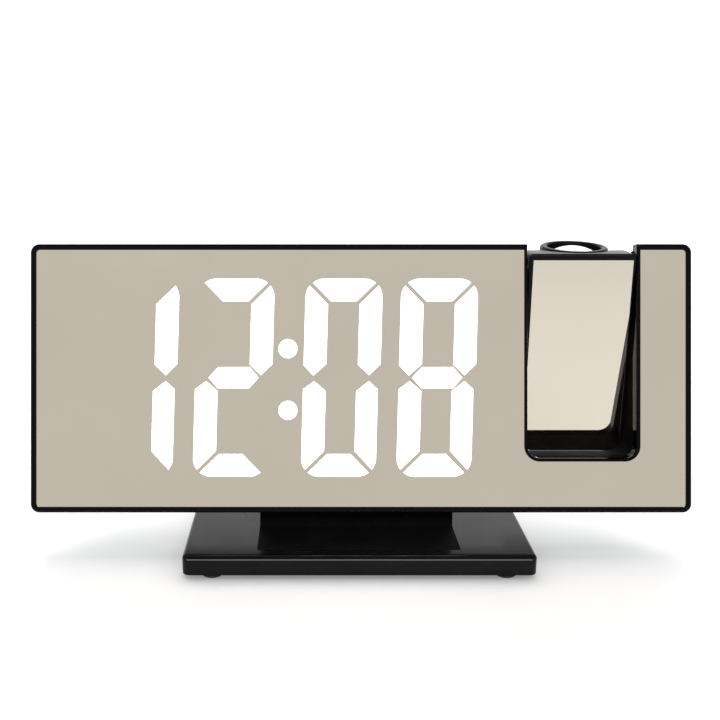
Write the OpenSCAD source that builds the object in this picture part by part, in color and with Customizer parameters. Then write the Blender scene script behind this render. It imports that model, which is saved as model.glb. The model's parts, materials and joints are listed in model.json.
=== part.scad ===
// Projection alarm clock with a half-mirror display, a swinging projector arm and a low stand.
// +X to the right of the display, -Y towards the viewer, +Z up. The origin is on the table,
// under the middle of the clock's box.

/* [Display housing] */
// Width of the display housing
body_w = 188.4; // [180:0.1:196]
// Height of the display housing, measured along the panel
body_h = 76.6; // [75.6:0.1:78]
// Depth of the front bezel
bezel_d = 3.4; // [3.2:0.1:4]
// Depth of the housing from panel to flat back
body_d = 24; // [23:0.5:26]
// Width of the black rim round the mirror panel
rim = 1.7; // [1:0.1:2]
// Thickness of the mirror panel
panel_t = 1.8; // [1.2:0.1:2]
// Backward lean of the housing in degrees
lean = 14; // [10:0.5:16]
// Wall thickness of the rear cover
wall = 1.8; // [1.4:0.1:2]
// Straight part of the rear cover before its sides slope
step_d = 1.6; // [1.6:0.1:2.5]

/* [Projector notch] */
// Left side of the notch, from the middle of the housing
notch_x0 = 47.5; // [46:0.1:48]
// Right side of the notch, from the middle of the housing
notch_x1 = 78.55; // [78:0.05:80]
// Height of the notch floor above the lower edge of the housing
notch_z = 15.6; // [15:0.1:15.9]
// Corner radius at the notch floor
notch_r = 3.4; // [2:0.1:5]

/* [Digits] */
// Height of a digit
dig_h = 56.4; // [50:0.1:57]
// Width of a digit
dig_w = 21.9; // [20:0.1:22]
// Width of a segment
seg_t = 6.45; // [5:0.05:7]
// Height of the digits' foot above the lower edge of the housing
dig_z = 10.3; // [10:0.1:12]

/* [Projector arm] */
// Width of the arm
arm_w = 30.45; // [29:0.05:30.45]
// Depth of the flat part of the arm
arm_d = 8.85; // [8:0.05:9]
// Arm above the pivot
arm_up = 5; // [4:0.01:5]
// Arm below the pivot
arm_dn = 53.9; // [50:0.1:53.9]
// Radius of the pivot pins
pin_r = 1.3; // [1:0.1:1.3]
// Outer radius of the focus ring
ring_r = 9.75; // [9:0.05:9.75]
// Forward tip of the lens head in degrees
tip = 3.2; // [2:0.1:3.4]

/* [Stand] */
// Width of the base
base_w = 97.2; // [90:0.1:110]
// Depth of the base
base_d = 54.2; // [54.2:0.1:60]
// Thickness of the base without its feet
base_t = 5.35; // [4:0.05:6]
// Gap between the base and the lower edge of the housing
base_gap = 7; // [6.5:0.5:10]
// Height that the rubber feet stand proud
foot_h = 1.05; // [0.5:0.05:1.5]
// Width of the neck
neck_w = 56.2; // [50:0.1:60]

/* [Hidden] */
$fn = 64;

hw = body_w / 2;
y_mid = base_d / 2 - 14.1;            // middle of the base behind the panel's lower edge
z_low = base_gap + base_t + foot_h;   // panel's lower edge above the table
stand_x = -1;                          // the stand's middle plane
nx = (notch_x0 + notch_x1) / 2;        // middle plane of the notch and the arm
piv_y = 5.02;                          // pivot axis behind the panel face
piv_z = 69.99;                         // pivot axis above the lower edge
ear_r = 2.45;                          // bezel ears that carry the pivot pins
arm_f = 5;                             // arm's front face in front of its pivot
lens_x = 0.5;                          // optical axis to the right of the arm's middle
lens_y = 6.9;                          // optical axis behind the pivot
rim_z = 5.75;                          // middle of the focus ring's rim above the pivot
sl = 0.027;                            // slant of the digits
lip = 1;                               // bezel lip round the notch

bev_y = bezel_d + step_d;              // depth at which the cover's sides start to slope
bev_out = bev_y + hw - rim;            // |x| + y on the outer side bevel
bev_top = bev_y + body_h - rim;        // y + z on the outer top bevel
bev_bot = bev_y - rim;                 // y - z on the outer bottom bevel
skew = wall * sqrt(2);

// ---- frames ----
module stood() translate([0, -y_mid, z_low]) children();
module leaned() stood() rotate([-lean, 0, 0]) children();
module in_arm() stood() translate([nx, piv_y * cos(lean) + piv_z * sin(lean),
                                   -piv_y * sin(lean) + piv_z * cos(lean)]) children();
// the barrel's axis, and the lens head that tips forward on it
module in_barrel() in_arm() translate([lens_x, lens_y, 0]) children();
module tipped() translate([0, 0, rim_z]) rotate([tip, 0, 0]) translate([0, 0, -rim_z]) children();
module in_head() in_barrel() tipped() children();
// flat shapes drawn in x and z, then given depth from y0 to y1
module slab(y0, y1) translate([0, y1, 0]) rotate([90, 0, 0]) linear_extrude(y1 - y0) children();
module rrect(x0, z0, x1, z1, r) {
    translate([x0 + r, z0]) square([x1 - x0 - 2 * r, z1 - z0]);
    translate([x0, z0 + r]) square([x1 - x0, z1 - z0 - 2 * r]);
    for (x = [x0 + r, x1 - r], z = [z0 + r, z1 - r]) translate([x, z]) circle(r);
}
module rod(x, z, y0, y1, r) translate([x, y0, z]) rotate([-90, 0, 0]) cylinder(h = y1 - y0, r = r);
module xrod(y, z, x0, x1, r) translate([x0, y, z]) rotate([0, 90, 0]) cylinder(h = x1 - x0, r = r);
module box(x0, x1, y0, y1, z0, z1) translate([x0, y0, z0]) cube([x1 - x0, y1 - y0, z1 - z0]);

// ---- digits ----
function sk(p) = [p[0] + p[1] * sl, p[1]];
function arc(cx, cz, r, a0, a1, n = 5) =
    [for (i = [0:n]) let (a = a0 + (a1 - a0) * i / n) [cx + r * cos(a), cz + r * sin(a)]];
cr = 3.4;                 // outer corner radius of a digit
gap = 0.4;                // half the gap between two segments
ga = asin(gap / cr);
ge = gap * sqrt(2);
mid = dig_h / 2;
function seg(s) =
    s == "a" ? concat(arc(cr, dig_h - cr, cr, 135 - ga, 90), arc(dig_w - cr, dig_h - cr, cr, 90, 45 + ga),
        [[dig_w - seg_t - ge, dig_h - seg_t], [seg_t + ge, dig_h - seg_t]]) :
    s == "d" ? concat(arc(cr, cr, cr, 225 + ga, 270), arc(dig_w - cr, cr, cr, 270, 315 - ga),
        [[dig_w - seg_t - ge, seg_t], [seg_t + ge, seg_t]]) :
    s == "b" ? concat(arc(dig_w - cr, dig_h - cr, cr, 45 - ga, 0), [[dig_w, mid + 4],
        [dig_w - 3.6, mid + 1.1], [dig_w - seg_t, mid + 4], [dig_w - seg_t, dig_h - seg_t - ge]]) :
    s == "c" ? concat(arc(dig_w - cr, cr, cr, 315 + ga, 360), [[dig_w, mid - 3.3],
        [dig_w - 3.6, mid - 1.1], [dig_w - seg_t, mid - 3.8], [dig_w - seg_t, seg_t + ge]]) :
    s == "f" ? concat(arc(cr, dig_h - cr, cr, 135 + ga, 180), [[0, mid + 4],
        [3.5, mid + 1.1], [seg_t, mid + 4], [seg_t, dig_h - seg_t - ge]]) :
    s == "e" ? concat(arc(cr, cr, cr, 225 - ga, 180), [[0, mid - 3.3],
        [3.5, mid - 1.1], [seg_t, mid - 3.8], [seg_t, seg_t + ge]]) :
    [[3.75, mid], [seg_t, mid + 3.08], [dig_w - seg_t, mid + 3.08], [dig_w - 3.85, mid],
        [dig_w - seg_t, mid - 3.08], [seg_t, mid - 3.08]];
function seg_mid(s) =
    s == "a" ? [dig_w / 2, dig_h - seg_t / 2] : s == "d" ? [dig_w / 2, seg_t / 2] :
    s == "g" ? [dig_w / 2, mid] : s == "b" ? [dig_w - seg_t / 2, dig_h * 0.74] :
    s == "c" ? [dig_w - seg_t / 2, dig_h * 0.26] : s == "f" ? [seg_t / 2, dig_h * 0.74] :
    [seg_t / 2, dig_h * 0.26];
dig_x = [-75.1, -48.0, -17.2, 10.0];
lit = ["bc", "abged", "abcdef", "abcdefg"];
colon_x = -20.85;
colon_z = [29.2, 46.75];
colon_r = 2.7;
function has(t, c) = len([for (k = t) if (k == c) 1]) > 0;
module segments(on) for (i = [0:3], s = "abcdefg")
    if (has(lit[i], s) == on) translate([dig_x[i], dig_z]) polygon([for (p = seg(s)) sk(p)]);
module colon() for (z = colon_z) translate([colon_x, z]) circle(colon_r);

// ---- outlines of the housing ----
module notch_clear() rrect(notch_x0, notch_z, notch_x1, body_h + 12, notch_r);
module panel_outline() difference() {
    rrect(-hw + rim, rim, hw - rim, body_h - rim, 1);
    rrect(notch_x0 - lip, notch_z - lip, notch_x1 + lip, body_h + 12, notch_r + lip);
}
screw_at = [[-84, 14], [-84, 61], [85.6, 12], [85.6, 60]];

module front_bezel() color([0.03, 0.03, 0.035]) leaned() difference() {
    union() {
        slab(0, bezel_d) difference() {
            rrect(-hw, 0, hw, body_h, 2.5);
            notch_clear();
        }
        for (p = screw_at) rod(p[0], p[1], bezel_d - 0.5, 6, 2.6);
        xrod(piv_y, piv_z, notch_x0 - 5, notch_x0, ear_r);
        xrod(piv_y, piv_z, notch_x1, notch_x1 + 5, ear_r);
    }
    slab(-1, 0.2 + panel_t) panel_outline();
    slab(1, bezel_d + 0.1) rrect(-79.5, 5.5, 42, 71.1, 1);
    for (p = screw_at) rod(p[0], p[1], 2.6, 7, 1.25);
    xrod(piv_y, piv_z, notch_x0 - 6, notch_x1 + 6, pin_r + 0.05);
}

module mirror_panel() color([0.75, 0.72, 0.67]) leaned() slab(0.2, 0.2 + panel_t) panel_outline();

blk = [-78, 38, 9.6, 67.4];   // display block: x0, x1, z0, z1
blk_y = 0.2 + panel_t;
blk_d = 4.6;
module segment_reflector() color([0.9, 0.9, 0.88]) leaned() difference() {
    slab(blk_y, blk_y + blk_d) rrect(blk[0], blk[2], blk[1], blk[3], 0.5);
    slab(blk_y - 1, blk_y + blk_d + 1) { segments(true); segments(false); colon(); }
}
module lit_segments() color([1, 1, 1]) leaned() slab(blk_y, blk_y + 1) { segments(true); colon(); }
module unlit_segments() color([0.6, 0.6, 0.58]) leaned() slab(blk_y, blk_y + 1) segments(false);
module segment_leds() color([1, 0.95, 0.7]) leaned() {
    for (i = [0:3], s = "abcdefg") {
        m = sk(seg_mid(s));
        translate([dig_x[i] + m[0], blk_y + blk_d - 0.8, dig_z + m[1]])
            translate([-1.4, 0, -0.9]) cube([2.8, 0.8, 1.8]);
    }
    for (z = colon_z) translate([colon_x - 1.4, blk_y + blk_d - 0.8, z - 0.9]) cube([2.8, 0.8, 1.8]);
}
pcb_y = blk_y + blk_d;
module display_board() color([0.1, 0.35, 0.18]) leaned()
    slab(pcb_y, pcb_y + 1.4) rrect(blk[0], blk[2], blk[1], blk[3], 0.5);

// ---- rear cover ----
module shell_shape(in) {
    k = in ? skew : 0;
    e = in ? wall : 0;
    yb = body_d - e;
    xs = hw - rim - e;
    xb = bev_out - k - yb;
    zs = body_h - rim - e;
    zb = bev_top - k - yb;
    ls = rim + e;
    lb = yb - bev_bot + k;
    intersection() {
        linear_extrude(body_h) polygon([[-xs, bezel_d], [xs, bezel_d], [xs, bev_out - k - xs],
            [xb, yb], [-xb, yb], [-xs, bev_out - k - xs]]);
        translate([-hw, 0, 0]) rotate([90, 0, 90]) linear_extrude(body_w)
            polygon([[bezel_d, ls], [bezel_d, zs], [bev_top - k - zs, zs], [yb, zb], [yb, lb], [ls + bev_bot - k, ls]]);
    }
}
mb_y = 13.6;                 // front face of the main board
mb_t = 1.6;
btn_x = [-28, -14, 0, 14, 28];
btn_z = 47;
snd = [0, 31.5];
dc = [29, 30.5];
bay = [-56, 38];             // middle of the cell bay
post = [[-37, 27.5], [-37, 47.5], [37, 27.5], [37, 47.5]];
sn_y = 18;
sn_z = bev_top - sn_y;
module on_bevel() translate([0, sn_y, sn_z]) rotate([-45, 0, 0]) children();
tongue = [[-19, -9], [7, 17]];

module cover_solid() difference() {
    union() {
        difference() {
            shell_shape(false);
            difference() {
                shell_shape(true);
                slab(0, body_d) rrect(notch_x0 - 1.6, notch_z - 1.6, notch_x1 + 1.6, body_h + 12, notch_r + 1.6);
            }
        }
        intersection() {
            shell_shape(false);
            union() {
                for (p = screw_at) rod(p[0], p[1], 6.1, body_d, 3.2);
                for (p = post) rod(p[0], p[1], mb_y + mb_t, body_d - 1, 2.3);
                box(bay[0] - 13.4, bay[0] + 13.4, 16, body_d - 1, bay[1] - 13.2, bay[1] + 12.6);
                on_bevel() for (x = [-26.5, 26.5]) translate([x, 0, -6.8]) cylinder(h = 6, r = 1.9);
            }
        }
        // tray that carries the notch floor to the back
        translate([notch_x0 - 1.2, 0, 0]) rotate([90, 0, 90]) linear_extrude(notch_x1 - notch_x0 + 2.4)
            polygon([[16, notch_z - 1.2], [body_d - 0.8, notch_z - 1.2], [body_d, notch_z - 0.4],
                [body_d, notch_z + 0.6], [body_d - 4.8, 21], [16, 21]]);
    }
    slab(-1, body_d + 1) notch_clear();
    // screw holes and their counterbores
    for (p = screw_at) { rod(p[0], p[1], 5, 12, 1.4); rod(p[0], p[1], 8, body_d + 1, 2.5); }
    // clearance round the pivot ears
    xrod(piv_y, piv_z, notch_x0 - 5.2, notch_x1 + 5.2, ear_r + 0.1);
    // board posts
    for (p = post) rod(p[0], p[1], mb_y + mb_t - 1, mb_y + mb_t + 5, 0.8);
    on_bevel() for (x = [-26.5, 26.5]) translate([x, 0, -7]) cylinder(h = 4.5, r = 0.7);
    // rear buttons
    for (x = btn_x) slab(body_d - wall - 1, body_d + 1) rrect(x - 4.7, btn_z - 2.7, x + 4.7, btn_z + 2.7, 1.2);
    // snooze bar
    on_bevel() translate([0, 0, -4]) linear_extrude(6) rrect(-22.1, -3.6, 22.1, 3.6, 1.6);
    // sounder grille
    for (i = [-2:2]) slab(body_d - wall - 1, body_d + 1)
        rrect(snd[0] - 6 + abs(i), snd[1] + i * 2.6 - 0.5, snd[0] + 6 - abs(i), snd[1] + i * 2.6 + 0.5, 0.4);
    // power socket
    rod(dc[0], dc[1], body_d - wall - 1, body_d + 1, 3.1);
    // cell bay, its sliding door and the door's grooves
    rod(bay[0], bay[1], 17.4, body_d + 1, 10.4);
    box(bay[0] - 12.1, bay[0] + 12.1, body_d - 1.75, body_d + 1, bay[1] - 20, bay[1] + 11.6);
    for (s = [-1, 1]) box(bay[0] + (s > 0 ? 11 : -12.9), bay[0] + (s > 0 ? 12.9 : -11),
        body_d - 1.45, body_d - 0.65, bay[1] - 20, bay[1] + 11.6);
}
module rear_cover() color([0.04, 0.04, 0.045]) difference() {
    leaned() cover_solid();
    stood() for (t = tongue) box(stand_x + t[0] + 0.8, stand_x + t[1] + 1.2, 15.8, 18.2, 0, 16);
}

module main_board() color([0.1, 0.4, 0.2]) leaned() difference() {
    slab(mb_y, mb_y + mb_t) rrect(-41, 24.5, 41, 50.5, 1);
    for (p = post) rod(p[0], p[1], mb_y - 1, mb_y + mb_t + 1, 1);
}
module control_chip() color([0.08, 0.08, 0.08]) leaned() box(-6, 6, mb_y - 1.4, mb_y, 32, 44);
module board_components() color([0.25, 0.25, 0.3]) leaned() {
    for (x = [12, 17, 22]) rod(x, 40, mb_y - 4, mb_y, 1.8);
    for (x = [12, 17, 22, 27]) box(x - 0.8, x + 0.8, mb_y - 0.6, mb_y, 31, 32.6);
    box(-14, -9.5, mb_y - 1.2, mb_y, 36, 38);
}
module ribbon_connectors() color([0.85, 0.83, 0.76]) leaned() {
    box(-31, -17, pcb_y + 1.4, pcb_y + 3, 30.5, 33.5);
    box(-31, -17, mb_y - 1.6, mb_y, 30.5, 33.5);
}
module ribbon_cable() color([0.8, 0.8, 0.75]) leaned() difference() {
    box(-30, -18, pcb_y + 1.9, mb_y - 0.5, 33.5, 36.5);
    box(-31, -17, pcb_y + 2.15, mb_y - 0.75, 33, 36.25);
}
module tact() {
    translate([-3, -3, 0]) cube([6, 6, 2.6]);
    cylinder(h = 3.4, r = 1.7);
}
module tact_switches() color([0.2, 0.2, 0.2]) leaned() {
    for (x = btn_x) translate([x, mb_y + mb_t, btn_z - 0.1]) rotate([-90, 0, 0]) tact();
    on_bevel() translate([0, 0, -6.8]) scale(0.85) tact();
}
module snooze_board() color([0.1, 0.4, 0.2]) leaned() on_bevel() difference() {
    translate([-29, -3.8, -8]) cube([58, 7.6, 1.2]);
    for (x = [-26.5, 26.5]) translate([x, 0, -9]) cylinder(h = 3, r = 0.9);
}
module board_screws() color([0.7, 0.7, 0.72]) leaned() {
    for (p = post) { rod(p[0], p[1], mb_y - 1.2, mb_y, 1.7); rod(p[0], p[1], mb_y, mb_y + mb_t + 4.5, 0.75); }
    on_bevel() for (x = [-26.5, 26.5]) translate([x, 0, 0]) {
        translate([0, 0, -9]) cylinder(h = 1, r = 1.4);
        translate([0, 0, -8]) cylinder(h = 4.8, r = 0.65);
    }
}
module sounder() color([0.12, 0.12, 0.12]) leaned() difference() {
    rod(snd[0], snd[1], mb_y + mb_t + 2, body_d - wall, 9.2);
    rod(snd[0], snd[1], mb_y + mb_t + 2.8, body_d - wall + 1, 8.4);
}
module power_socket() color([0.06, 0.06, 0.06]) leaned() {
    difference() {
        union() {
            box(dc[0] - 4.5, dc[0] + 4.5, mb_y + mb_t, body_d - wall, dc[1] - 3.6, dc[1] + 3.6);
            rod(dc[0], dc[1], body_d - wall - 0.5, body_d - 0.1, 3);
        }
        rod(dc[0], dc[1], body_d - 7.5, body_d + 1, 1.75);
    }
    rod(dc[0], dc[1], body_d - 8, body_d - 1, 0.6);
}
module case_screws() color([0.6, 0.6, 0.62]) leaned() for (p = screw_at) difference() {
    union() { rod(p[0], p[1], 8, 9.4, 2.2); rod(p[0], p[1], 3, 8.2, 1.2); }
    box(p[0] - 1.6, p[0] + 1.6, 8.7, 10, p[1] - 0.25, p[1] + 0.25);
    box(p[0] - 0.25, p[0] + 0.25, 8.7, 10, p[1] - 1.6, p[1] + 1.6);
}
module backup_cell() color([0.8, 0.8, 0.82]) leaned() {
    rod(bay[0], bay[1], 18.1, 20.7, 10);
    rod(bay[0], bay[1], 20.7, 21.3, 8.8);
}
module cell_contacts() color([0.85, 0.75, 0.4]) leaned() {
    box(bay[0] - 3, bay[0] + 3, 17.4, 18.1, bay[1] - 5, bay[1] + 5);
    box(bay[0] - 2, bay[0] + 2, 21.3, 21.7, bay[1] + 1, bay[1] + 10);
}
module cell_door() color([0.04, 0.04, 0.045]) leaned() {
    difference() {
        union() {
            box(bay[0] - 11.85, bay[0] + 11.85, body_d - 1.6, body_d, bay[1] - 14.6, bay[1] + 11.3);
            for (s = [-1, 1]) box(bay[0] + (s > 0 ? 11 : -12.65), bay[0] + (s > 0 ? 12.65 : -11),
                body_d - 1.3, body_d - 0.8, bay[1] - 13, bay[1] + 11.3);
        }
        for (i = [0:3]) box(bay[0] - 6 + i, bay[0] + 6 - i, body_d - 0.45, body_d + 1, bay[1] - 9 - i * 1.3, bay[1] - 8.5 - i * 1.3);
    }
}

// ---- buttons ----
module rear_button(x) color([0.05, 0.05, 0.055]) leaned() {
    slab(body_d - wall - 0.2, body_d + 1.2) rrect(x - 4.5, btn_z - 2.5, x + 4.5, btn_z + 2.5, 1);
    slab(body_d - wall - 1.1, body_d - wall - 0.2) rrect(x - 5.4, btn_z - 3.3, x + 5.4, btn_z + 3.3, 1);
    rod(x, btn_z, mb_y + mb_t + 4.3, body_d - wall - 1.1, 1.5);
}
module set_button() rear_button(btn_x[0]);
module up_button() rear_button(btn_x[1]);
module down_button() rear_button(btn_x[2]);
module alarm_button() rear_button(btn_x[3]);
module projector_button() rear_button(btn_x[4]);
module snooze_bar() color([0.05, 0.05, 0.055]) leaned() on_bevel() {
    translate([0, 0, -wall - 0.2]) linear_extrude(wall + 1.2) rrect(-21.8, -3.3, 21.8, 3.3, 1.4);
    translate([0, 0, -wall - 1]) linear_extrude(0.8) rrect(-23, -4.4, 23, 4.4, 1);
}

// a round wire from a to b
module wire(a, b, r) translate(a) rotate([0, acos((b[2] - a[2]) / norm(b - a)), atan2(b[1] - a[1], b[0] - a[0])])
    cylinder(h = norm(b - a), r = r, $fn = 24);
module projector_lead() color([0.7, 0.1, 0.1]) leaned() {
    wire([40, mb_y - 0.6, 46], [40, piv_y, 66], 0.55);
    translate([40, piv_y, 66]) sphere(r = 0.65, $fn = 24);
    wire([40, piv_y, 66], [40, piv_y, piv_z], 0.55);
    translate([40, piv_y, piv_z]) sphere(r = 0.65, $fn = 24);
    wire([40, piv_y, piv_z], [notch_x0 + 0.5, piv_y, piv_z], 0.55);
}

// ---- projector arm, drawn from its pivot axis ----
ah = arm_w / 2;
split = -1.6;
top_z = -1.2;                   // underside of the solid top block
mir = [-14.0, 14.5, arm_up - 1.85];   // arm mirror: left, right, top
arm_scr = [[-12.6, -9], [12.6, -9], [-11.5, -48], [11.5, -48]];
ring_z = 0.75;
foot_r = 4;                     // radius of the arm's lower corners
// the arm's outline, e inside its edge, from depth y0 to y1
module arm_slab(y0, y1, e = 0) intersection() {
    slab(y0, y1) rrect(-ah + e, -arm_dn + e, ah - e, arm_up - e, 1.3);
    slab(y0 - 1, y1 + 1) rrect(-ah + e, -arm_dn + e, ah - e, arm_up + 12, foot_r - e);
}
module ring_seat() translate([lens_x, lens_y, 0]) tipped() {
    translate([0, 0, ring_z - 0.25]) cylinder(h = 14, r = ring_r + 0.3);
    translate([0, 0, -15]) cylinder(h = 20, r = 8.35);
}
module washer_seat() for (s = [-1, 1]) xrod(0, 0, s > 0 ? ah - 0.7 : -ah - 1, s > 0 ? ah + 1 : -ah + 0.7, 3.2);
module arm_front_frame() color([0.03, 0.03, 0.035]) in_arm() difference() {
    arm_slab(-arm_f, split);
    box(mir[0], mir[1], -arm_f - 1, -arm_f + 1.3, -arm_dn - 1, mir[2]);
    ring_seat();
    washer_seat();
    for (p = arm_scr) rod(p[0], p[1], -3.2, split + 1, 0.75);
}
module arm_mirror() color([0.86, 0.85, 0.8]) in_arm() intersection() {
    box(mir[0], mir[1], -arm_f + 0.1, -arm_f + 1.3, -arm_dn + 0.05, mir[2]);
    arm_slab(-arm_f, -arm_f + 2, 0.05);
}
module arm_rear_shell() color([0.03, 0.03, 0.035]) in_arm() difference() {
    union() {
        arm_slab(split, arm_d - arm_f);
        intersection() {
            translate([lens_x, lens_y, -38]) cylinder(h = 38 + ring_z - 0.05, r = 10.6);
            box(-20, 20, split, 30, -60, 20);
        }
    }
    difference() {
        box(-ah + 1.6, ah - 1.6, split - 1, arm_d - arm_f - 1.6, -arm_dn + 1.6, top_z);
        translate([lens_x, lens_y, -38]) cylinder(h = 40, r = 10.6);
        for (p = arm_scr) rod(p[0], p[1], split - 1, 5, 2.4);
    }
    translate([lens_x, lens_y, -36.2]) cylinder(h = 23.2, r = 8.35);
    // key slots for the lens cell
    translate([lens_x, lens_y, 0]) tipped() for (s = [-1, 1]) box(s * 8.6 - 0.8, s * 8.6 + 0.8, -1.1, 1.1, -14, 0);
    ring_seat();
    washer_seat();
    xrod(0, 0, -ah - 1, -10.5, pin_r);
    xrod(0, 0, 10.5, ah + 1, pin_r);
    // wire way from the left pin to the lamp
    xrod(0, 0, -11, -9, 0.8);
    translate([-10, 0, -3]) cylinder(h = 3.2, r = 0.8);
    for (p = arm_scr) { rod(p[0], p[1], split - 1, 5, 0.9); rod(p[0], p[1], 2.4, 5, 1.9); }
}
module arm_screws() color([0.6, 0.6, 0.62]) in_arm() for (p = arm_scr) {
    rod(p[0], p[1], 2.4, 3.5, 1.7);
    rod(p[0], p[1], -3, 2.5, 0.7);
}
module pivot_pins() color([0.75, 0.75, 0.77]) in_arm() for (s = [-1, 1]) difference() {
    xrod(0, 0, s > 0 ? 10.5 : -20, s > 0 ? 20 : -10.5, pin_r);
    xrod(0, 0, s > 0 ? 10 : -21, s > 0 ? 21 : -10, 0.7);
}
module friction_washers() color([0.8, 0.8, 0.8]) in_arm() for (s = [-1, 1]) difference() {
    xrod(0, 0, s > 0 ? ah - 0.7 : -ah - 0.22, s > 0 ? ah + 0.22 : -ah + 0.7, 3);
    xrod(0, 0, -20, 20, pin_r + 0.02);
}
rim_r = 0.7;                    // rounding of the focus ring's rim
module focus_ring() color([0.05, 0.05, 0.055]) in_head() difference() {
    rotate_extrude() {
        translate([7.75, ring_z]) square([ring_r - 7.75, rim_z - rim_r - ring_z]);
        translate([7.75 + rim_r, ring_z]) square([ring_r - 7.75 - 2 * rim_r, rim_z - ring_z]);
        for (r = [7.75 + rim_r, ring_r - rim_r]) translate([r, rim_z - rim_r]) circle(rim_r);
        translate([7.75, -2.4]) square([0.55, 4]);
    }
    for (i = [0:35]) rotate([0, 0, i * 10]) translate([ring_r + 0.2, 0, ring_z - 1]) cylinder(h = 4.6, r = 0.45, $fn = 24);
}
module lens_cell() color([0.08, 0.08, 0.08]) in_head() {
    difference() {
        translate([0, 0, -9]) cylinder(h = 13.1, r = 7.7);
        translate([0, 0, -10]) cylinder(h = 20, r = 5.6);
        translate([0, 0, 0.8]) cylinder(h = 5, r = 6.5);
    }
    for (s = [-1, 1]) box(s * 8.1 - 0.9, s * 8.1 + 0.9, -0.9, 0.9, -9, -6);
}
module projection_lens() color([0.92, 0.94, 0.9, 0.6]) in_head() intersection() {
    translate([0, 0, 0.8]) cylinder(h = 7, r = 6.5);
    translate([0, 0, 5.75 - 14]) sphere(r = 14, $fn = 96);
}
module light_tube() color([0.1, 0.1, 0.1]) in_barrel() difference() {
    translate([0, 0, -34]) cylinder(h = 20.5, r = 8.3);
    translate([0, 0, -35]) cylinder(h = 25, r = 6);
    translate([0, 0, -32]) cylinder(h = 3.4, r = 7.2);
    translate([-5.9, -5.9, -21]) cube([11.8, 11.8, 9]);
}
module condenser_lens() color([0.9, 0.92, 0.95, 0.6]) in_barrel() translate([0, 0, -32]) intersection() {
    cylinder(h = 3.4, r = 7.15);
    translate([0, 0, 3.4 - 12]) sphere(r = 12, $fn = 64);
}
module numeral_slide() color([0.3, 0.4, 0.5]) in_barrel() translate([-5.8, -5.8, -21]) cube([11.6, 11.6, 1.8]);
module projector_led_board() color([0.9, 0.9, 0.9]) in_barrel() translate([0, 0, -36.2]) cylinder(h = 1.2, r = 8);
module projector_led() color([1, 0.9, 0.5]) in_barrel() translate([0, 0, -35]) {
    translate([-1.75, -1.75, 0]) cube([3.5, 3.5, 0.7]);
    translate([0, 0, 0.6]) cylinder(h = 0.3, r = 1.3);
}
module arm_lead() color([0.7, 0.1, 0.1]) in_arm() {
    wire([-14, 0, 0], [-10, 0, 0], 0.5);
    translate([-10, 0, 0]) sphere(r = 0.5, $fn = 24);
    wire([-10, 0, 0], [-10, 0, -2.6], 0.5);
}

// ---- stand ----
b0 = -14.1;                 // front of the base
bz = -base_gap;             // top of the base
neck_y = 6.2;               // front of the neck
plate_y = -9.4;             // front of the recess for its foot plate
feet_at = [[-40.5, b0 + 3.35], [40.5, b0 + 3.35], [-40.5, b0 + base_d - 3.35], [40.5, b0 + base_d - 3.35]];
scr_at = [[-18, 17], [18, 17]];
module stand_base() color([0.03, 0.03, 0.035]) stood() translate([stand_x, 0, 0]) difference() {
    translate([0, 0, bz - base_t]) linear_extrude(base_t) rrect(-base_w / 2, b0, base_w / 2, b0 + base_d, 2);
    difference() {
        translate([0, 0, bz - base_t - 1]) linear_extrude(base_t - 0.6)
            rrect(-base_w / 2 + 2, b0 + 2, base_w / 2 - 2, b0 + base_d - 2, 1);
        for (p = feet_at) translate([p[0], p[1], bz - base_t - 2]) cylinder(h = 6, r = 3.8);
        for (p = scr_at) translate([p[0], p[1], bz - base_t - 2]) cylinder(h = 6, r = 4);
        for (x = [-24, 0, 24]) box(x - 0.6, x + 0.6, b0, b0 + base_d, bz - base_t - 2, bz);
    }
    for (p = feet_at) translate([p[0], p[1], bz - base_t - 1]) cylinder(h = 2.1, r = 1.45);
    // recess for the neck's foot plate
    box(-neck_w / 2 - 0.1, neck_w / 2 + 0.1, plate_y, neck_y + 2, bz - 0.6, bz + 1);
    for (p = scr_at) {
        translate([p[0], p[1], bz - base_t - 1]) cylinder(h = 9, r = 1.5);
        translate([p[0], p[1], bz - base_t - 1]) cylinder(h = 3.6, r = 2.8);
    }
}
function bev_h(y) = let (ys = bev_y * cos(lean) + rim * sin(lean), zs = -bev_y * sin(lean) + rim * cos(lean))
    zs + (y - ys) * tan(45 - lean);
module stand_neck() color([0.03, 0.03, 0.035]) stood() translate([stand_x, 0, 0]) difference() {
    union() {
        translate([-neck_w / 2, 0, 0]) rotate([90, 0, 90]) linear_extrude(neck_w)
            polygon([[neck_y, bz], [26, bz], [26, bev_h(26)], [neck_y, bev_h(neck_y)]]);
        box(-neck_w / 2, neck_w / 2, plate_y + 0.1, neck_y + 1.9, bz - 0.6, bz);
        for (t = tongue) box(t[0] + 1, t[1] + 1, 16, 18, 2, 14.5);
    }
    difference() {
        translate([-neck_w / 2 + 2, 0, 0]) rotate([90, 0, 90]) linear_extrude(neck_w - 4)
            polygon([[neck_y + 2, bz - 1], [24, bz - 1], [24, bev_h(24) - 2], [neck_y + 2, bev_h(neck_y + 2) - 2]]);
        for (p = scr_at) translate([p[0], p[1], bz]) cylinder(h = 30, r = 3.4);
    }
    for (p = scr_at) translate([p[0], p[1], bz - 1]) cylinder(h = 9, r = 1.15);
}
module stand_screws() color([0.6, 0.6, 0.62]) stood() translate([stand_x, 0, 0]) for (p = scr_at) {
    translate([p[0], p[1], bz - base_t + 1.1]) cylinder(h = 1.5, r = 2.5);
    translate([p[0], p[1], bz - base_t + 2.5]) cylinder(h = 8.5, r = 1.1);
}
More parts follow.
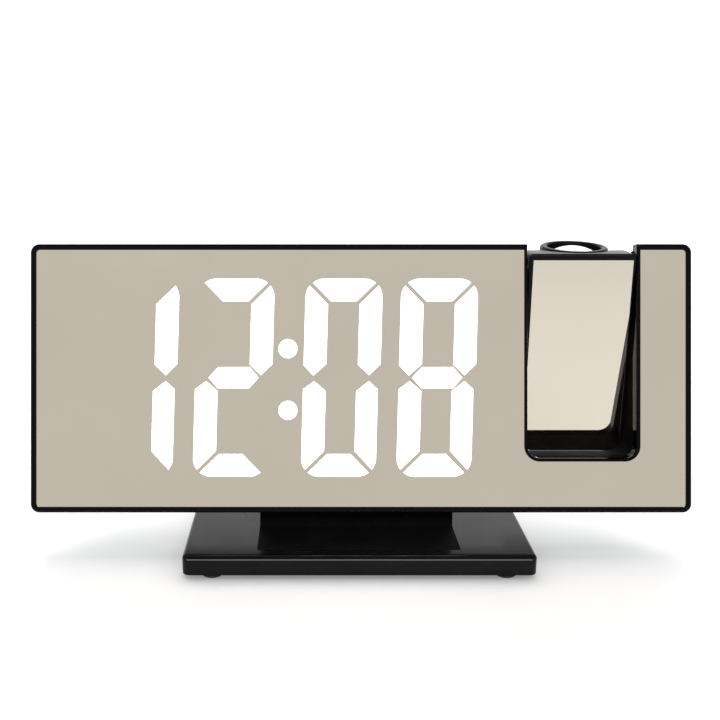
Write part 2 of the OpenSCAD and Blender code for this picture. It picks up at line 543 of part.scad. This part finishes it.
module rubber_feet() color([0.12, 0.12, 0.12]) stood() translate([stand_x, 0, 0]) for (p = feet_at) {
    translate([p[0], p[1], bz - base_t - foot_h]) cylinder(h = foot_h, r = 3);
    translate([p[0], p[1], bz - base_t - foot_h]) cylinder(h = foot_h + 1, r = 1.4);
}

front_bezel();
mirror_panel();
segment_reflector();
lit_segments();
unlit_segments();
segment_leds();
display_board();
ribbon_cable();
ribbon_connectors();
main_board();
control_chip();
board_components();
tact_switches();
snooze_board();
board_screws();
sounder();
power_socket();
rear_cover();
case_screws();
backup_cell();
cell_contacts();
cell_door();
set_button();
up_button();
down_button();
alarm_button();
projector_button();
snooze_bar();
projector_lead();
arm_front_frame();
arm_mirror();
arm_rear_shell();
arm_screws();
pivot_pins();
friction_washers();
focus_ring();
lens_cell();
projection_lens();
light_tube();
condenser_lens();
numeral_slide();
projector_led();
projector_led_board();
arm_lead();
stand_base();
stand_neck();
stand_screws();
rubber_feet();
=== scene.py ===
import json
import math

import bmesh
import bpy
from mathutils import Matrix, Vector

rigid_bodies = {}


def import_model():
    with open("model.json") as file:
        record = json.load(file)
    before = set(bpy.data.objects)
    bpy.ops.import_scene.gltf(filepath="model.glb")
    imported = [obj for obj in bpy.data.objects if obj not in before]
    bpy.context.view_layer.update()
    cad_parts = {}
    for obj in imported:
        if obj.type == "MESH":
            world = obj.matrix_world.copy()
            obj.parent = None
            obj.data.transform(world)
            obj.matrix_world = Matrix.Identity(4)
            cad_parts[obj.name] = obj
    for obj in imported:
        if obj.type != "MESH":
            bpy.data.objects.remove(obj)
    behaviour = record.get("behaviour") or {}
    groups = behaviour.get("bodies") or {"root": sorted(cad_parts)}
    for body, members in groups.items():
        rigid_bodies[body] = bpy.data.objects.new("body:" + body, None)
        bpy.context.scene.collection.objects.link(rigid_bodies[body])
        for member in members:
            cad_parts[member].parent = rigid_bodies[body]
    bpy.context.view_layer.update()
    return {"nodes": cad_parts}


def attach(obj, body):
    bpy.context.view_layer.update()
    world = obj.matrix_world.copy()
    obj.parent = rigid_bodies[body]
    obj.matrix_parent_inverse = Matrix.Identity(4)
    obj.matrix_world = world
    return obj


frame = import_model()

NODES = frame["nodes"]

# ------------------------------------------------------------------ frames
LEAN = math.radians(14)
P0 = Vector((0.0, -0.013, 0.0134))          # lower edge of the panel's face, middle
FACE = Matrix.Translation(P0) @ Matrix.Rotation(-LEAN, 4, "X")   # x right, y into the clock, z up the panel
STAND = Matrix.Translation(P0 + Vector((-0.001, 0, 0)))
NX, PIV_Y, PIV_Z = 0.063025, 0.00502, 0.06999
ARM = Matrix.Translation(P0 + Vector((NX, PIV_Y * math.cos(LEAN) + PIV_Z * math.sin(LEAN),
                                      -PIV_Y * math.sin(LEAN) + PIV_Z * math.cos(LEAN))))


# ------------------------------------------------------------------ node-tree helper
class Tree:
    """A material's node tree, with short calls for the nodes used here."""

    def __init__(self, name):
        self.mat = bpy.data.materials.new(name)
        self.mat.use_nodes = True
        self.nt = self.mat.node_tree
        self.b = self.nt.nodes["Principled BSDF"]
        self.out = self.nt.nodes["Material Output"]
        self.co = self.node("ShaderNodeTexCoord").outputs["Object"]

    def node(self, kind, **props):
        n = self.nt.nodes.new(kind)
        for k, v in props.items():
            setattr(n, k, v)
        return n

    def link(self, a, b):
        self.nt.links.new(a, b)

    def mapped(self, scale=(1, 1, 1), rotation=(0, 0, 0)):
        m = self.node("ShaderNodeMapping")
        m.inputs["Scale"].default_value = scale
        m.inputs["Rotation"].default_value = rotation
        self.link(self.co, m.inputs["Vector"])
        return m.outputs["Vector"]

    def noise(self, scale, detail=3.0, rough=0.5, vector=None, distortion=0.0):
        n = self.node("ShaderNodeTexNoise")
        n.inputs["Scale"].default_value = scale
        n.inputs["Detail"].default_value = detail
        n.inputs["Roughness"].default_value = rough
        n.inputs["Distortion"].default_value = distortion
        self.link(vector if vector is not None else self.co, n.inputs["Vector"])
        return n.outputs["Fac"]

    def voronoi(self, scale, feature="F1", vector=None, randomness=1.0):
        n = self.node("ShaderNodeTexVoronoi", feature=feature)
        n.inputs["Scale"].default_value = scale
        n.inputs["Randomness"].default_value = randomness
        self.link(vector if vector is not None else self.co, n.inputs["Vector"])
        return n.outputs["Distance"]

    def ramp(self, fac, stops, interpolation="LINEAR"):
        n = self.node("ShaderNodeValToRGB")
        n.color_ramp.interpolation = interpolation
        e = n.color_ramp.elements
        while len(e) < len(stops):
            e.new(0.5)
        for i, (p, c) in enumerate(stops):
            e[i].position = p
            e[i].color = (*c, 1) if len(c) == 3 else c
        self.link(fac, n.inputs["Fac"])
        return n.outputs["Color"]

    def span(self, fac, lo, hi, a=0.0, b=1.0):
        n = self.node("ShaderNodeMapRange")
        n.inputs["From Min"].default_value = a
        n.inputs["From Max"].default_value = b
        n.inputs["To Min"].default_value = lo
        n.inputs["To Max"].default_value = hi
        self.link(fac, n.inputs["Value"])
        return n.outputs["Result"]

    def math(self, op, a, b=None):
        n = self.node("ShaderNodeMath", operation=op)
        for i, v in enumerate((a, b)):
            if v is None:
                continue
            if isinstance(v, (int, float)):
                n.inputs[i].default_value = v
            else:
                self.link(v, n.inputs[i])
        return n.outputs[0]

    def bump(self, height, distance, strength=1.0, normal=None):
        n = self.node("ShaderNodeBump")
        n.inputs["Strength"].default_value = strength
        n.inputs["Distance"].default_value = distance
        self.link(height, n.inputs["Height"])
        if normal is not None:
            self.link(normal, n.inputs["Normal"])
        return n.outputs["Normal"]

    def set(self, **values):
        for k, v in values.items():
            self.b.inputs[k.replace("_", " ")].default_value = v

    def into(self, socket, output):
        self.link(output, self.b.inputs[socket])


def grey(v, warm=0.0):
    return (v * (1 + warm), v, v * (1 - warm))


def gloss_black(name="gloss_black", spec=0.12, rough=(0.025, 0.06)):
    t = Tree(name)
    t.into("Base Color", t.ramp(t.noise(55, 4), [(0.3, (0.0012, 0.0012, 0.0014)), (0.7, (0.0026, 0.0025, 0.0024))]))
    smear = t.noise(70, 5, 0.6, t.mapped((1, 1, 0.35)))
    t.into("Roughness", t.span(smear, rough[0], rough[1], 0.3, 0.7))
    n = t.bump(t.noise(900, 2), 0.0000012, 0.3)                       # moulding ripple
    t.into("Normal", t.bump(t.noise(60, 2), 0.000012, 0.2, n))
    t.set(IOR=1.5, Specular_IOR_Level=spec)
    return t.mat


def satin_black(name="satin_black", base=0.010, rough=(0.42, 0.55), grain=2600, depth=0.000022, spec=0.42):
    t = Tree(name)
    t.into("Base Color", t.ramp(t.noise(120, 5), [(0.3, grey(base * 0.75)), (0.72, grey(base * 1.3))]))
    t.into("Roughness", t.span(t.noise(160, 4), rough[0], rough[1], 0.3, 0.7))
    h = t.math("ADD", t.noise(grain, 3, 0.65), t.math("MULTIPLY", t.voronoi(grain * 0.55), 0.6))
    t.into("Normal", t.bump(h, depth, 0.7))
    t.set(IOR=1.5, Specular_IOR_Level=spec)
    return t.mat


def cover_black():
    """One moulding: satin black outside and dull inside the notch, where a darker base colour is painted shade for the
    recess.
    """
    t = Tree("cover_black")
    at = t.node("ShaderNodeSeparateXYZ")
    t.link(t.co, at.inputs[0])
    dx = t.math("ABSOLUTE", t.math("SUBTRACT", at.outputs[0], 0.063025))
    outside = t.math("MAXIMUM", t.span(dx, 0, 1, 0.0156, 0.0160), t.span(at.outputs[2], 1, 0, 0.0225, 0.0235))
    mix = t.node("ShaderNodeMix", data_type="RGBA")
    t.link(outside, mix.inputs["Factor"])
    # painted shade: the darker colour inside the notch stands in for shade in the recess
    t.link(t.ramp(t.noise(120, 5), [(0.3, grey(0.0022)), (0.72, grey(0.0045))]), mix.inputs[6])
    t.link(t.ramp(t.noise(150, 5), [(0.3, grey(0.009)), (0.72, grey(0.016))]), mix.inputs[7])
    t.into("Base Color", mix.outputs[2])
    t.into("Roughness", t.span(t.noise(160, 4), 0.4, 0.5, 0.3, 0.7))
    h = t.math("ADD", t.noise(2600, 3, 0.65), t.math("MULTIPLY", t.voronoi(1400), 0.6))
    t.into("Normal", t.bump(t.math("MULTIPLY", h, outside), 0.000018, 0.7))
    t.into("Coat Weight", t.math("MULTIPLY", outside, 0.7))
    t.set(IOR=1.5, Specular_IOR_Level=0.001, Coat_Roughness=0.34)
    return t.mat


def mirror(name, dark, light, rough):
    t = Tree(name)
    t.into("Base Color", t.ramp(t.noise(24, 3), [(0.3, dark), (0.7, light)]))
    t.into("Roughness", t.span(t.noise(90, 5, 0.6), rough[0], rough[1], 0.35, 0.65))
    t.into("Normal", t.bump(t.noise(14, 2), 0.00001, 0.15))
    t.set(Metallic=1.0)
    return t.mat


def plastic(name, base, rough=(0.4, 0.5), grain=1500, depth=0.00001, warm=0.0, spec=0.5):
    t = Tree(name)
    c = base if isinstance(base, tuple) else grey(base, warm)
    t.into("Base Color", t.ramp(t.noise(180, 4), [(0.3, tuple(v * 0.88 for v in c)), (0.7, tuple(min(v * 1.08, 1) for v in c))]))
    t.into("Roughness", t.span(t.noise(300, 4), rough[0], rough[1], 0.3, 0.7))
    t.into("Normal", t.bump(t.noise(grain, 3), depth, 0.6))
    t.set(Specular_IOR_Level=spec)
    return t.mat


def lit_white():
    t = Tree("lit")
    c = t.ramp(t.noise(140, 2), [(0.3, (0.97, 0.985, 1.0)), (0.7, (1.0, 1.0, 1.0))])
    t.into("Base Color", c)
    t.into("Emission Color", c)
    t.into("Roughness", t.span(t.noise(500, 3), 0.3, 0.4, 0.3, 0.7))
    t.into("Normal", t.bump(t.noise(1500, 2), 0.000002, 0.3))
    t.set(Emission_Strength=0.5)
    return t.mat


def lens_cream(name, tint, clear):
    """Acrylic with a creamy body under a polished skin; on the projection lens that creamy colour is painted light,
    standing in for the lit slide seen through the clear lens.
    """
    t = Tree(name)
    t.into("Base Color", t.ramp(t.noise(60, 2), [(0.3, tuple(v * 0.96 for v in tint)), (0.7, tint)]))
    t.into("Roughness", t.span(t.noise(200, 3), 0.12, 0.2, 0.3, 0.7))
    t.into("Normal", t.bump(t.noise(50, 1), 0.000004, 0.1))
    t.set(IOR=1.5, Transmission_Weight=clear, Coat_Weight=1.0, Coat_Roughness=0.02)
    return t.mat


def metal(name, base, rough=(0.25, 0.4), grain=(1, 1, 1), scale=900):
    t = Tree(name)
    t.into("Base Color", t.ramp(t.noise(400, 4), [(0.3, tuple(v * 0.82 for v in base)), (0.7, base)]))
    v = t.mapped(grain)
    t.into("Roughness", t.span(t.noise(scale, 4, 0.6, v), rough[0], rough[1], 0.3, 0.7))
    t.into("Normal", t.bump(t.noise(scale * 1.6, 3, 0.5, v), 0.000006, 0.5))
    t.set(Metallic=1.0)
    return t.mat


def board_green():
    t = Tree("board_green")
    tracks = t.ramp(t.voronoi(330, "DISTANCE_TO_EDGE", None, 0.15), [(0.0, (0.02, 0.16, 0.07)), (0.1, (0.012, 0.09, 0.04))])
    t.into("Base Color", tracks)
    t.into("Roughness", t.span(t.noise(300, 3), 0.25, 0.4, 0.3, 0.7))
    t.into("Normal", t.bump(t.noise(1200, 2), 0.00001, 0.4))
    return t.mat


def rubber():
    t = Tree("rubber")
    t.into("Base Color", t.ramp(t.noise(400, 5), [(0.3, grey(0.005)), (0.7, grey(0.012))]))
    t.into("Roughness", t.span(t.noise(700, 4), 0.6, 0.82, 0.3, 0.7))
    t.into("Normal", t.bump(t.noise(2600, 4, 0.7), 0.00003, 0.6))
    t.set(Specular_IOR_Level=0.12)
    return t.mat


def floor_white():
    t = Tree("floor_white")
    c = t.ramp(t.noise(3, 3), [(0.3, (0.93, 0.935, 0.945)), (0.7, (0.95, 0.955, 0.96))])
    t.into("Base Color", c)
    t.into("Emission Color", c)                                       # a lit table top
    t.into("Roughness", t.span(t.noise(20, 3), 0.75, 0.9, 0.3, 0.7))
    t.into("Normal", t.bump(t.noise(700, 3), 0.00001, 0.2))
    t.set(Specular_IOR_Level=0.1, Emission_Strength=0.23)
    return t.mat


M = {
    "gloss_black": gloss_black(),
    "gloss_ring": gloss_black("gloss_ring", 0.04, (0.3, 0.38)),
    "arm_black": gloss_black("arm_black", 0.08, (0.32, 0.4)),
    "base_black": gloss_black("base_black", 0.14, (0.18, 0.24)),
    "cover_black": cover_black(),
    "satin_black": satin_black(),
    "matt_black": satin_black("matt_black", 0.002, (0.55, 0.68), 2200, 0.00003, 0.015),
    "panel_mirror": mirror("panel_mirror", (0.84, 0.757, 0.624), (0.859, 0.78, 0.643), (0.035, 0.06)),
    "arm_mirror": mirror("arm_mirror", (0.665, 0.61, 0.51), (0.684, 0.628, 0.526), (0.02, 0.04)),
    "white_plastic": plastic("white_plastic", 0.82, warm=0.01),
    "lit": lit_white(),
    "diffuser": plastic("diffuser", 0.52, warm=0.01),
    "board_green": board_green(),
    "part_black": plastic("part_black", 0.02),
    "cream": plastic("cream", (0.72, 0.69, 0.58)),
    "steel": metal("steel", (0.6, 0.6, 0.62)),
    "brass": metal("brass", (0.8, 0.62, 0.32)),
    # painted light: the projection lens's cream colour stands in for the lit slide seen through it
    "lens": lens_cream("lens", (0.66, 0.65, 0.61), 0.25),
    "condenser": lens_cream("condenser", (0.95, 0.95, 0.93), 0.9),
    "led": plastic("led", (0.9, 0.82, 0.45), (0.2, 0.3)),
    "wire_red": plastic("wire_red", (0.5, 0.03, 0.03), (0.35, 0.45)),
    "rubber": rubber(),
    "film": plastic("film", (0.05, 0.07, 0.1), (0.1, 0.2)),
}


def finish_of(node, slot):
    """Gives a CAD node its material, on each of its slots."""
    for s in NODES[node].material_slots:
        s.material = M[slot]


LOOKS = {
    "gloss_black": ["front_bezel"],
    "arm_black": ["arm_front_frame", "arm_rear_shell"],
    "base_black": ["stand_base"],
    "cover_black": ["rear_cover"],
    "gloss_ring": ["focus_ring"],
    "matt_black": ["stand_neck", "lens_cell"],
    "satin_black": ["cell_door", "set_button", "up_button", "down_button", "alarm_button",
                    "projector_button", "snooze_bar"],
    "panel_mirror": ["mirror_panel"],
    "arm_mirror": ["arm_mirror"],
    "white_plastic": ["segment_reflector", "projector_led_board"],
    "lit": ["lit_segments"],
    "diffuser": ["unlit_segments"],
    "board_green": ["display_board", "main_board", "snooze_board"],
    "part_black": ["control_chip", "tact_switches", "sounder", "power_socket", "light_tube", "board_components"],
    "cream": ["ribbon_cable", "ribbon_connectors"],
    "steel": ["board_screws", "case_screws", "backup_cell", "arm_screws", "pivot_pins", "friction_washers",
              "stand_screws"],
    "brass": ["cell_contacts"],
    "lens": ["projection_lens"],
    "condenser": ["condenser_lens"],
    "led": ["segment_leds", "projector_led"],
    "wire_red": ["projector_lead", "arm_lead"],
    "rubber": ["rubber_feet"],
    "film": ["numeral_slide"],
}
for look, names in LOOKS.items():
    for name in names:
        finish_of(name, look)


class Edges:
    """A geometry-node group that writes how much each edge of a moulding is rounded."""

    def __init__(self, name, frame_matrix):
        self.g = bpy.data.node_groups.new(name, "GeometryNodeTree")
        for way in ("INPUT", "OUTPUT"):
            self.g.interface.new_socket(name="Geometry", in_out=way, socket_type="NodeSocketGeometry")
        self.src = self.g.nodes.new("NodeGroupInput")
        self.dst = self.g.nodes.new("NodeGroupOutput")
        sub = self.g.nodes.new("ShaderNodeVectorMath")
        sub.operation = "SUBTRACT"
        self.g.links.new(self.g.nodes.new("GeometryNodeInputPosition").outputs[0], sub.inputs[0])
        sub.inputs[1].default_value = frame_matrix.translation
        rot = self.g.nodes.new("ShaderNodeVectorRotate")
        rot.rotation_type = "X_AXIS"
        rot.inputs["Angle"].default_value = -frame_matrix.to_euler().x
        self.g.links.new(sub.outputs[0], rot.inputs["Vector"])
        mm = self.g.nodes.new("ShaderNodeVectorMath")
        mm.operation = "SCALE"
        mm.inputs["Scale"].default_value = 1000
        self.g.links.new(rot.outputs[0], mm.inputs[0])
        sep = self.g.nodes.new("ShaderNodeSeparateXYZ")
        self.g.links.new(mm.outputs[0], sep.inputs[0])
        self.x, self.y, self.z = sep.outputs
        self.turn = self.g.nodes.new("GeometryNodeInputMeshEdgeAngle").outputs

    def do(self, op, a, b=None):
        n = self.g.nodes.new("ShaderNodeMath")
        n.operation = op
        for i, v in enumerate((a, b)):
            if v is None:
                continue
            if isinstance(v, (int, float)):
                n.inputs[i].default_value = v
            else:
                self.g.links.new(v, n.inputs[i])
        return n.outputs[0]

    def outline(self, u, v, u0, v0, u1, v1, r):
        """Distance in mm outside a rectangle with round corners."""
        q = [self.do("ADD", self.do("ABSOLUTE", self.do("SUBTRACT", w, (lo + hi) / 2)), r - (hi - lo) / 2)
             for w, lo, hi in ((u, u0, u1), (v, v0, v1))]
        out = [self.do("POWER", self.do("MAXIMUM", w, 0.0), 2.0) for w in q]
        far = self.do("SQRT", self.do("ADD", out[0], out[1]))
        near = self.do("MINIMUM", self.do("MAXIMUM", q[0], q[1]), 0.0)
        return self.do("SUBTRACT", self.do("ADD", far, near), r)

    def near(self, d, tol=0.3):
        return self.do("LESS_THAN", self.do("ABSOLUTE", d), tol)

    def both(self, *masks):
        m = masks[0]
        for k in masks[1:]:
            m = self.do("MULTIPLY", m, k)
        return m

    def either(self, *masks):
        m = masks[0]
        for k in masks[1:]:
            m = self.do("MAXIMUM", m, k)
        return m

    def write(self, node, width, mask, small, segments=4):
        sharp = self.do("GREATER_THAN", self.turn["Unsigned Angle"], math.radians(25))
        weight = self.do("MULTIPLY", sharp, self.do("ADD", small, self.do("MULTIPLY", mask, 1 - small)))
        st = self.g.nodes.new("GeometryNodeStoreNamedAttribute")
        st.data_type = "FLOAT"
        st.domain = "EDGE"
        st.inputs["Name"].default_value = "bevel_weight_edge"
        self.g.links.new(weight, next(i for i in st.inputs if i.name == "Value" and i.enabled))
        self.g.links.new(self.src.outputs[0], st.inputs["Geometry"])
        shade = self.g.nodes.new("GeometryNodeSetShadeSmooth")            # every face smooth,
        self.g.links.new(st.outputs[0], shade.inputs["Geometry"])
        crease = self.g.nodes.new("GeometryNodeSetShadeSmooth")           # and the edges left alone sharp
        crease.domain = "EDGE"
        keep = self.do("MULTIPLY", sharp, self.do("LESS_THAN", weight, 0.01))
        self.g.links.new(keep, crease.inputs["Selection"])
        crease.inputs["Shade Smooth"].default_value = False
        self.g.links.new(shade.outputs[0], crease.inputs["Geometry"])
        self.g.links.new(crease.outputs[0], self.dst.inputs[0])
        soften(node, width, segments=segments, weights=self.g)


def soften(node, width, angle=30, segments=3, weights=None):
    """Rounds the moulded edges of a CAD node with modifiers; the CAD mesh below stays as it is."""
    o = NODES[node]
    w = o.modifiers.new("weld", "WELD")
    w.merge_threshold = 0.000002
    d = o.modifiers.new("planar", "DECIMATE")
    d.decimate_type = "DISSOLVE"
    d.angle_limit = math.radians(1)
    if weights:
        o.modifiers.new("weights", "NODES").node_group = weights
    b = o.modifiers.new("edge", "BEVEL")
    b.width = width
    b.segments = segments
    b.limit_method = "WEIGHT" if weights else "ANGLE"
    b.angle_limit = math.radians(angle)
    b.miter_outer = "MITER_ARC"
    b.harden_normals = True
    b.use_clamp_overlap = weights is None
    n = o.modifiers.new("normals", "WEIGHTED_NORMAL")
    n.keep_sharp = True
    n.weight = 100


HW, BODY_H, NOTCH = 94.2, 76.6, (47.5, 15.6, 78.55, 88.6, 3.4)
e = Edges("bezel_edges", FACE)
rim_edge = e.near(e.outline(e.x, e.z, -HW, 0, HW, BODY_H, 2.5))
notch_edge = e.near(e.outline(e.x, e.z, *NOTCH))
e.write("front_bezel", 0.00062, e.both(e.do("LESS_THAN", e.y, 0.05), e.either(rim_edge, notch_edge)), 0.0)

e = Edges("cover_edges", FACE)
turn = e.turn["Signed Angle"]
tray = e.both(e.do("LESS_THAN", e.do("ABSOLUTE", e.do("SUBTRACT", e.x, 63.025)), 17.3), e.do("GREATER_THAN", e.y, 18.5),
              e.do("LESS_THAN", e.do("ABSOLUTE", e.do("SUBTRACT", e.z, 17.7)), 3.8))
slope = e.both(e.do("GREATER_THAN", turn, math.radians(35)), e.do("LESS_THAN", turn, math.radians(65)),
               e.do("SUBTRACT", 1.0, tray))
corner = e.both(e.do("GREATER_THAN", e.do("ABSOLUTE", e.x), 92.4),
                e.do("GREATER_THAN", e.do("ABSOLUTE", e.do("SUBTRACT", e.z, 38.3)), 36.5))
e.write("rear_cover", 0.00045, e.either(slope, corner), 0.0, 4)

e = Edges("base_edges", STAND)
base_edge = e.near(e.outline(e.x, e.y, -48.6, -14.1, 48.6, 40.1, 2))
flank = e.do("MINIMUM", 1.0, e.do("MAXIMUM", 0.0, e.do("MULTIPLY", e.do("SUBTRACT", e.do("ABSOLUTE", e.x), 46.7), 0.55)))
soft = e.do("SUBTRACT", 1.0, e.do("MULTIPLY", flank, 0.6))              # a smaller rounding along the sides
e.write("stand_base", 0.0019, e.either(e.both(e.do("GREATER_THAN", e.z, -7.05), base_edge, soft),
                                       e.do("MULTIPLY", e.both(e.do("LESS_THAN", e.z, -12.3), base_edge), 0.12)), 0.0, 7)

e = Edges("arm_front_edges", ARM)
arm_edge = e.do("MAXIMUM", e.outline(e.x, e.z, -15.225, -53.9, 15.225, 5.0, 1.3),
                e.outline(e.x, e.z, -15.225, -53.9, 15.225, 17, 4))
e.write("arm_front_frame", 0.0005, e.both(e.do("LESS_THAN", e.y, -4.95), e.do("GREATER_THAN", e.z, -49.8), e.near(arm_edge)), 0.0)

e = Edges("arm_rear_edges", ARM)
arm_edge = e.do("MAXIMUM", e.outline(e.x, e.z, -15.225, -53.9, 15.225, 5.0, 1.3),
                e.outline(e.x, e.z, -15.225, -53.9, 15.225, 17, 4))
e.write("arm_rear_shell", 0.0007, e.both(e.do("GREATER_THAN", e.y, 3.8), e.near(arm_edge)), 0.0)

e = Edges("neck_edges", STAND)
e.write("stand_neck", 0.0005, e.both(e.near(e.do("SUBTRACT", e.do("ABSOLUTE", e.x), 28.1), 0.05),
                                     e.near(e.do("SUBTRACT", e.y, 6.2), 0.05)), 0.0)
soften("rubber_feet", 0.0004, segments=4)
for n in ("set_button", "up_button", "down_button", "alarm_button", "projector_button", "snooze_bar", "cell_door"):
    soften(n, 0.00025)

# ------------------------------------------------------------------ digits
DIG_H, DIG_W, SEG_T, DIG_Z, CR, GAP, SL = 56.4, 21.9, 6.45, 10.3, 5.3, 0.6, 0.027
MID = DIG_H / 2
GA = math.degrees(math.asin(GAP / CR))
GE = GAP * math.sqrt(2)


def arc(cx, cz, r, a0, a1, n=10):
    return [(cx + r * math.cos(math.radians(a0 + (a1 - a0) * i / n)),
             cz + r * math.sin(math.radians(a0 + (a1 - a0) * i / n))) for i in range(n + 1)]


def segment(s):
    w, h, t, v = DIG_W, DIG_H, SEG_T, DIG_W - 0.6         # v: the lower half is a little narrower
    return {
        "a": arc(CR, h - CR, CR, 135 - GA, 90) + arc(w - CR, h - CR, CR, 90, 45 + GA) + [(w - t - GE, h - t), (t + GE, h - t)],
        "d": arc(CR, CR, CR, 225 + GA, 270) + arc(v - CR, CR, CR, 270, 315 - GA) + [(v - t - GE, t), (t + GE, t)],
        "b": arc(w - CR, h - CR, CR, 45 - GA, 0) + [(w, MID + 3.9), (w - 3.2, MID + 0.7), (w - t, MID + 3.7), (w - t, h - t - GE)],
        "c": arc(v - CR, CR, CR, 315 + GA, 360) + [(v, MID - 3.3), (v - 2.6, MID - 1.0), (v - t + 0.3, MID - 3.8), (v - t + 0.3, t + GE)],
        "f": arc(CR, h - CR, CR, 135 + GA, 180) + [(0, MID + 3.5), (2.8, MID + 0.6), (t, MID + 3.9), (t, h - t - GE)],
        "e": arc(CR, CR, CR, 225 - GA, 180) + [(0, MID - 3.3), (3.1, MID - 1.0), (t, MID - 3.8), (t, t + GE)],
        "g": [(3.75, MID), (t, MID + 3.0), (w - t, MID + 3.0), (w - 3.85, MID), (w - t, MID - 3.0), (t, MID - 3.0)],
    }[s]


def film(outlines, y_front, y_back, name, frame_matrix, material, body):
    """Thin flat pieces with the given outlines (mm, in x and z of the frame), one closed solid each."""
    bm = bmesh.new()
    for pts in outlines:
        area = sum(a[0] * b[1] - b[0] * a[1] for a, b in zip(pts, pts[1:] + pts[:1]))
        if area < 0:
            pts = pts[::-1]
        front = [bm.verts.new((x / 1000, y_front / 1000, z / 1000)) for x, z in pts]
        back = [bm.verts.new((x / 1000, y_back / 1000, z / 1000)) for x, z in pts]
        bm.faces.new(front)
        bm.faces.new(back[::-1])
        for i in range(len(pts)):
            j = (i + 1) % len(pts)
            bm.faces.new((front[j], front[i], back[i], back[j]))
    bm.normal_update()
    me = bpy.data.meshes.new(name)
    bm.to_mesh(me)
    bm.free()
    me.transform(frame_matrix)
    o = bpy.data.objects.new(name, me)
    bpy.context.scene.collection.objects.link(o)
    me.materials.append(material)
    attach(o, body)
    return o


outlines = []
for x0, word in zip((-75.1, -48.0, -17.2, 10.0), ("bc", "abged", "abcdef", "abcdefg")):
    for s in word:
        outlines.append([(x0 + x + z * SL, DIG_Z + z) for x, z in segment(s)])
for z in (29.2, 46.75):
    outlines.append(arc(-20.85, z, 2.7, 0, 352.5, 47))
digits = film(outlines, 0.13, 0.195, "lit_digit_film", FACE, M["lit"], "clock")

# ------------------------------------------------------------------ floor, light, camera
bm = bmesh.new()
bmesh.ops.create_circle(bm, cap_ends=True, segments=96, radius=6.0)
me = bpy.data.meshes.new("floor")
bm.to_mesh(me)
bm.free()
floor = bpy.data.objects.new("floor", me)
bpy.context.scene.collection.objects.link(floor)
me.materials.append(floor_white())

scene = bpy.context.scene
world = bpy.data.worlds.new("studio")
scene.world = world
world.use_nodes = True
wt = world.node_tree
bg = wt.nodes["Background"]


def wnode(kind, **props):
    n = wt.nodes.new(kind)
    for k, v in props.items():
        setattr(n, k, v)
    return n


def wmap(value, a, b, lo, hi):
    n = wnode("ShaderNodeMapRange", interpolation_type="SMOOTHSTEP")
    for k, v in (("From Min", a), ("From Max", b), ("To Min", lo), ("To Max", hi)):
        n.inputs[k].default_value = v
    wt.links.new(value, n.inputs["Value"])
    return n.outputs["Result"]


def wmath(op, a, b=None):
    n = wnode("ShaderNodeMath", operation=op)
    for i, v in enumerate((a, b)):
        if v is None:
            continue
        if isinstance(v, (int, float)):
            n.inputs[i].default_value = v
        else:
            wt.links.new(v, n.inputs[i])
    return n.outputs[0]


# the room: bright low down behind the clock, softer in front of it, dim at both sides and overhead
way = wnode("ShaderNodeSeparateXYZ")
wt.links.new(wnode("ShaderNodeTexCoord").outputs["Generated"], way.inputs[0])
back = wmap(way.outputs["Y"], -0.3, 0.6, 0.0, 1.0)
drop = wmap(way.outputs["Z"], 0.3, 0.45, 1.0, 0.25)
depth = wmath("ADD", wmath("MULTIPLY", wmath("MULTIPLY", back, drop), 2.1),
              wmath("MULTIPLY", wmath("SUBTRACT", 1.0, back), 0.62))
sides = wmap(wmath("ABSOLUTE", way.outputs["X"]), 0.5, 0.9, 1.0, 0.5)
low = wmath("MULTIPLY", depth, sides)
high = wmap(way.outputs["Z"], 0.42, 0.68, 0.0, 1.0)
glow = wmath("ADD", wmath("MULTIPLY", low, wmath("SUBTRACT", 1.0, high)), wmath("MULTIPLY", high, 0.15))
wt.links.new(glow, bg.inputs["Strength"])
bg.inputs["Color"].default_value = (1, 1, 1, 1)


def area(name, loc, target, size, power, color=(1, 1, 1)):
    d = bpy.data.lights.new(name, "AREA")
    d.shape = "RECTANGLE"
    d.size, d.size_y = size
    d.energy = power
    d.color = color
    o = bpy.data.objects.new(name, d)
    scene.collection.objects.link(o)
    o.location = loc
    o.rotation_mode = "QUATERNION"
    o.rotation_quaternion = (Vector(target) - Vector(loc)).to_track_quat("-Z", "Y")
    return o


key = area("key_softbox", (0.0, -0.595, 0.503), (0, 0, 0.03), (0.8, 0.26), 10.5)
lit_by_key = bpy.data.collections.new("lit_by_key")       # the key lights the clock except its front bezel, and leaves the table alone
for o in bpy.data.objects:
    if o.type == "MESH" and o not in (floor, NODES["front_bezel"]):
        lit_by_key.objects.link(o)
key.light_linking.receiver_collection = lit_by_key
top = bpy.data.objects.new("overhead", bpy.data.lights.new("overhead", "SUN"))       # soft, from above and behind, on the table only
top.data.energy, top.data.angle = 1.2, math.radians(44)
top.rotation_euler = (math.radians(-22), 0, 0)
scene.collection.objects.link(top)
table_only = bpy.data.collections.new("table_only")
table_only.objects.link(floor)
top.light_linking.receiver_collection = table_only
area("background_light", (0, 1.9, 1.5), (0, 2.0, 0), (3.0, 1.6), 42.0)
area("far_light", (0, 4.6, 1.9), (0, 4.5, 0), (7.0, 2.6), 90.0).visible_glossy = False
for side in (-1, 1):
    area("side_strip", (side * 0.5, -0.12, 0.34), (side * 0.05, 0, 0.05), (0.03, 0.5), 0.3)

cam_data = bpy.data.cameras.new("camera")
cam = bpy.data.objects.new("camera", cam_data)
scene.collection.objects.link(cam)
cam.location = P0 + Vector((-0.015089, -0.247756, 0.106636))
cam.rotation_euler = (math.radians(76), 0, 0)
cam_data.sensor_width = 36
cam_data.lens = 935 / 720 * 36
cam_data.shift_x = (360 - 308.1) / 720
cam_data.clip_start, cam_data.clip_end = 0.01, 50
scene.camera = cam
scene.view_settings.view_transform = "Standard"
scene.view_settings.look = "None"
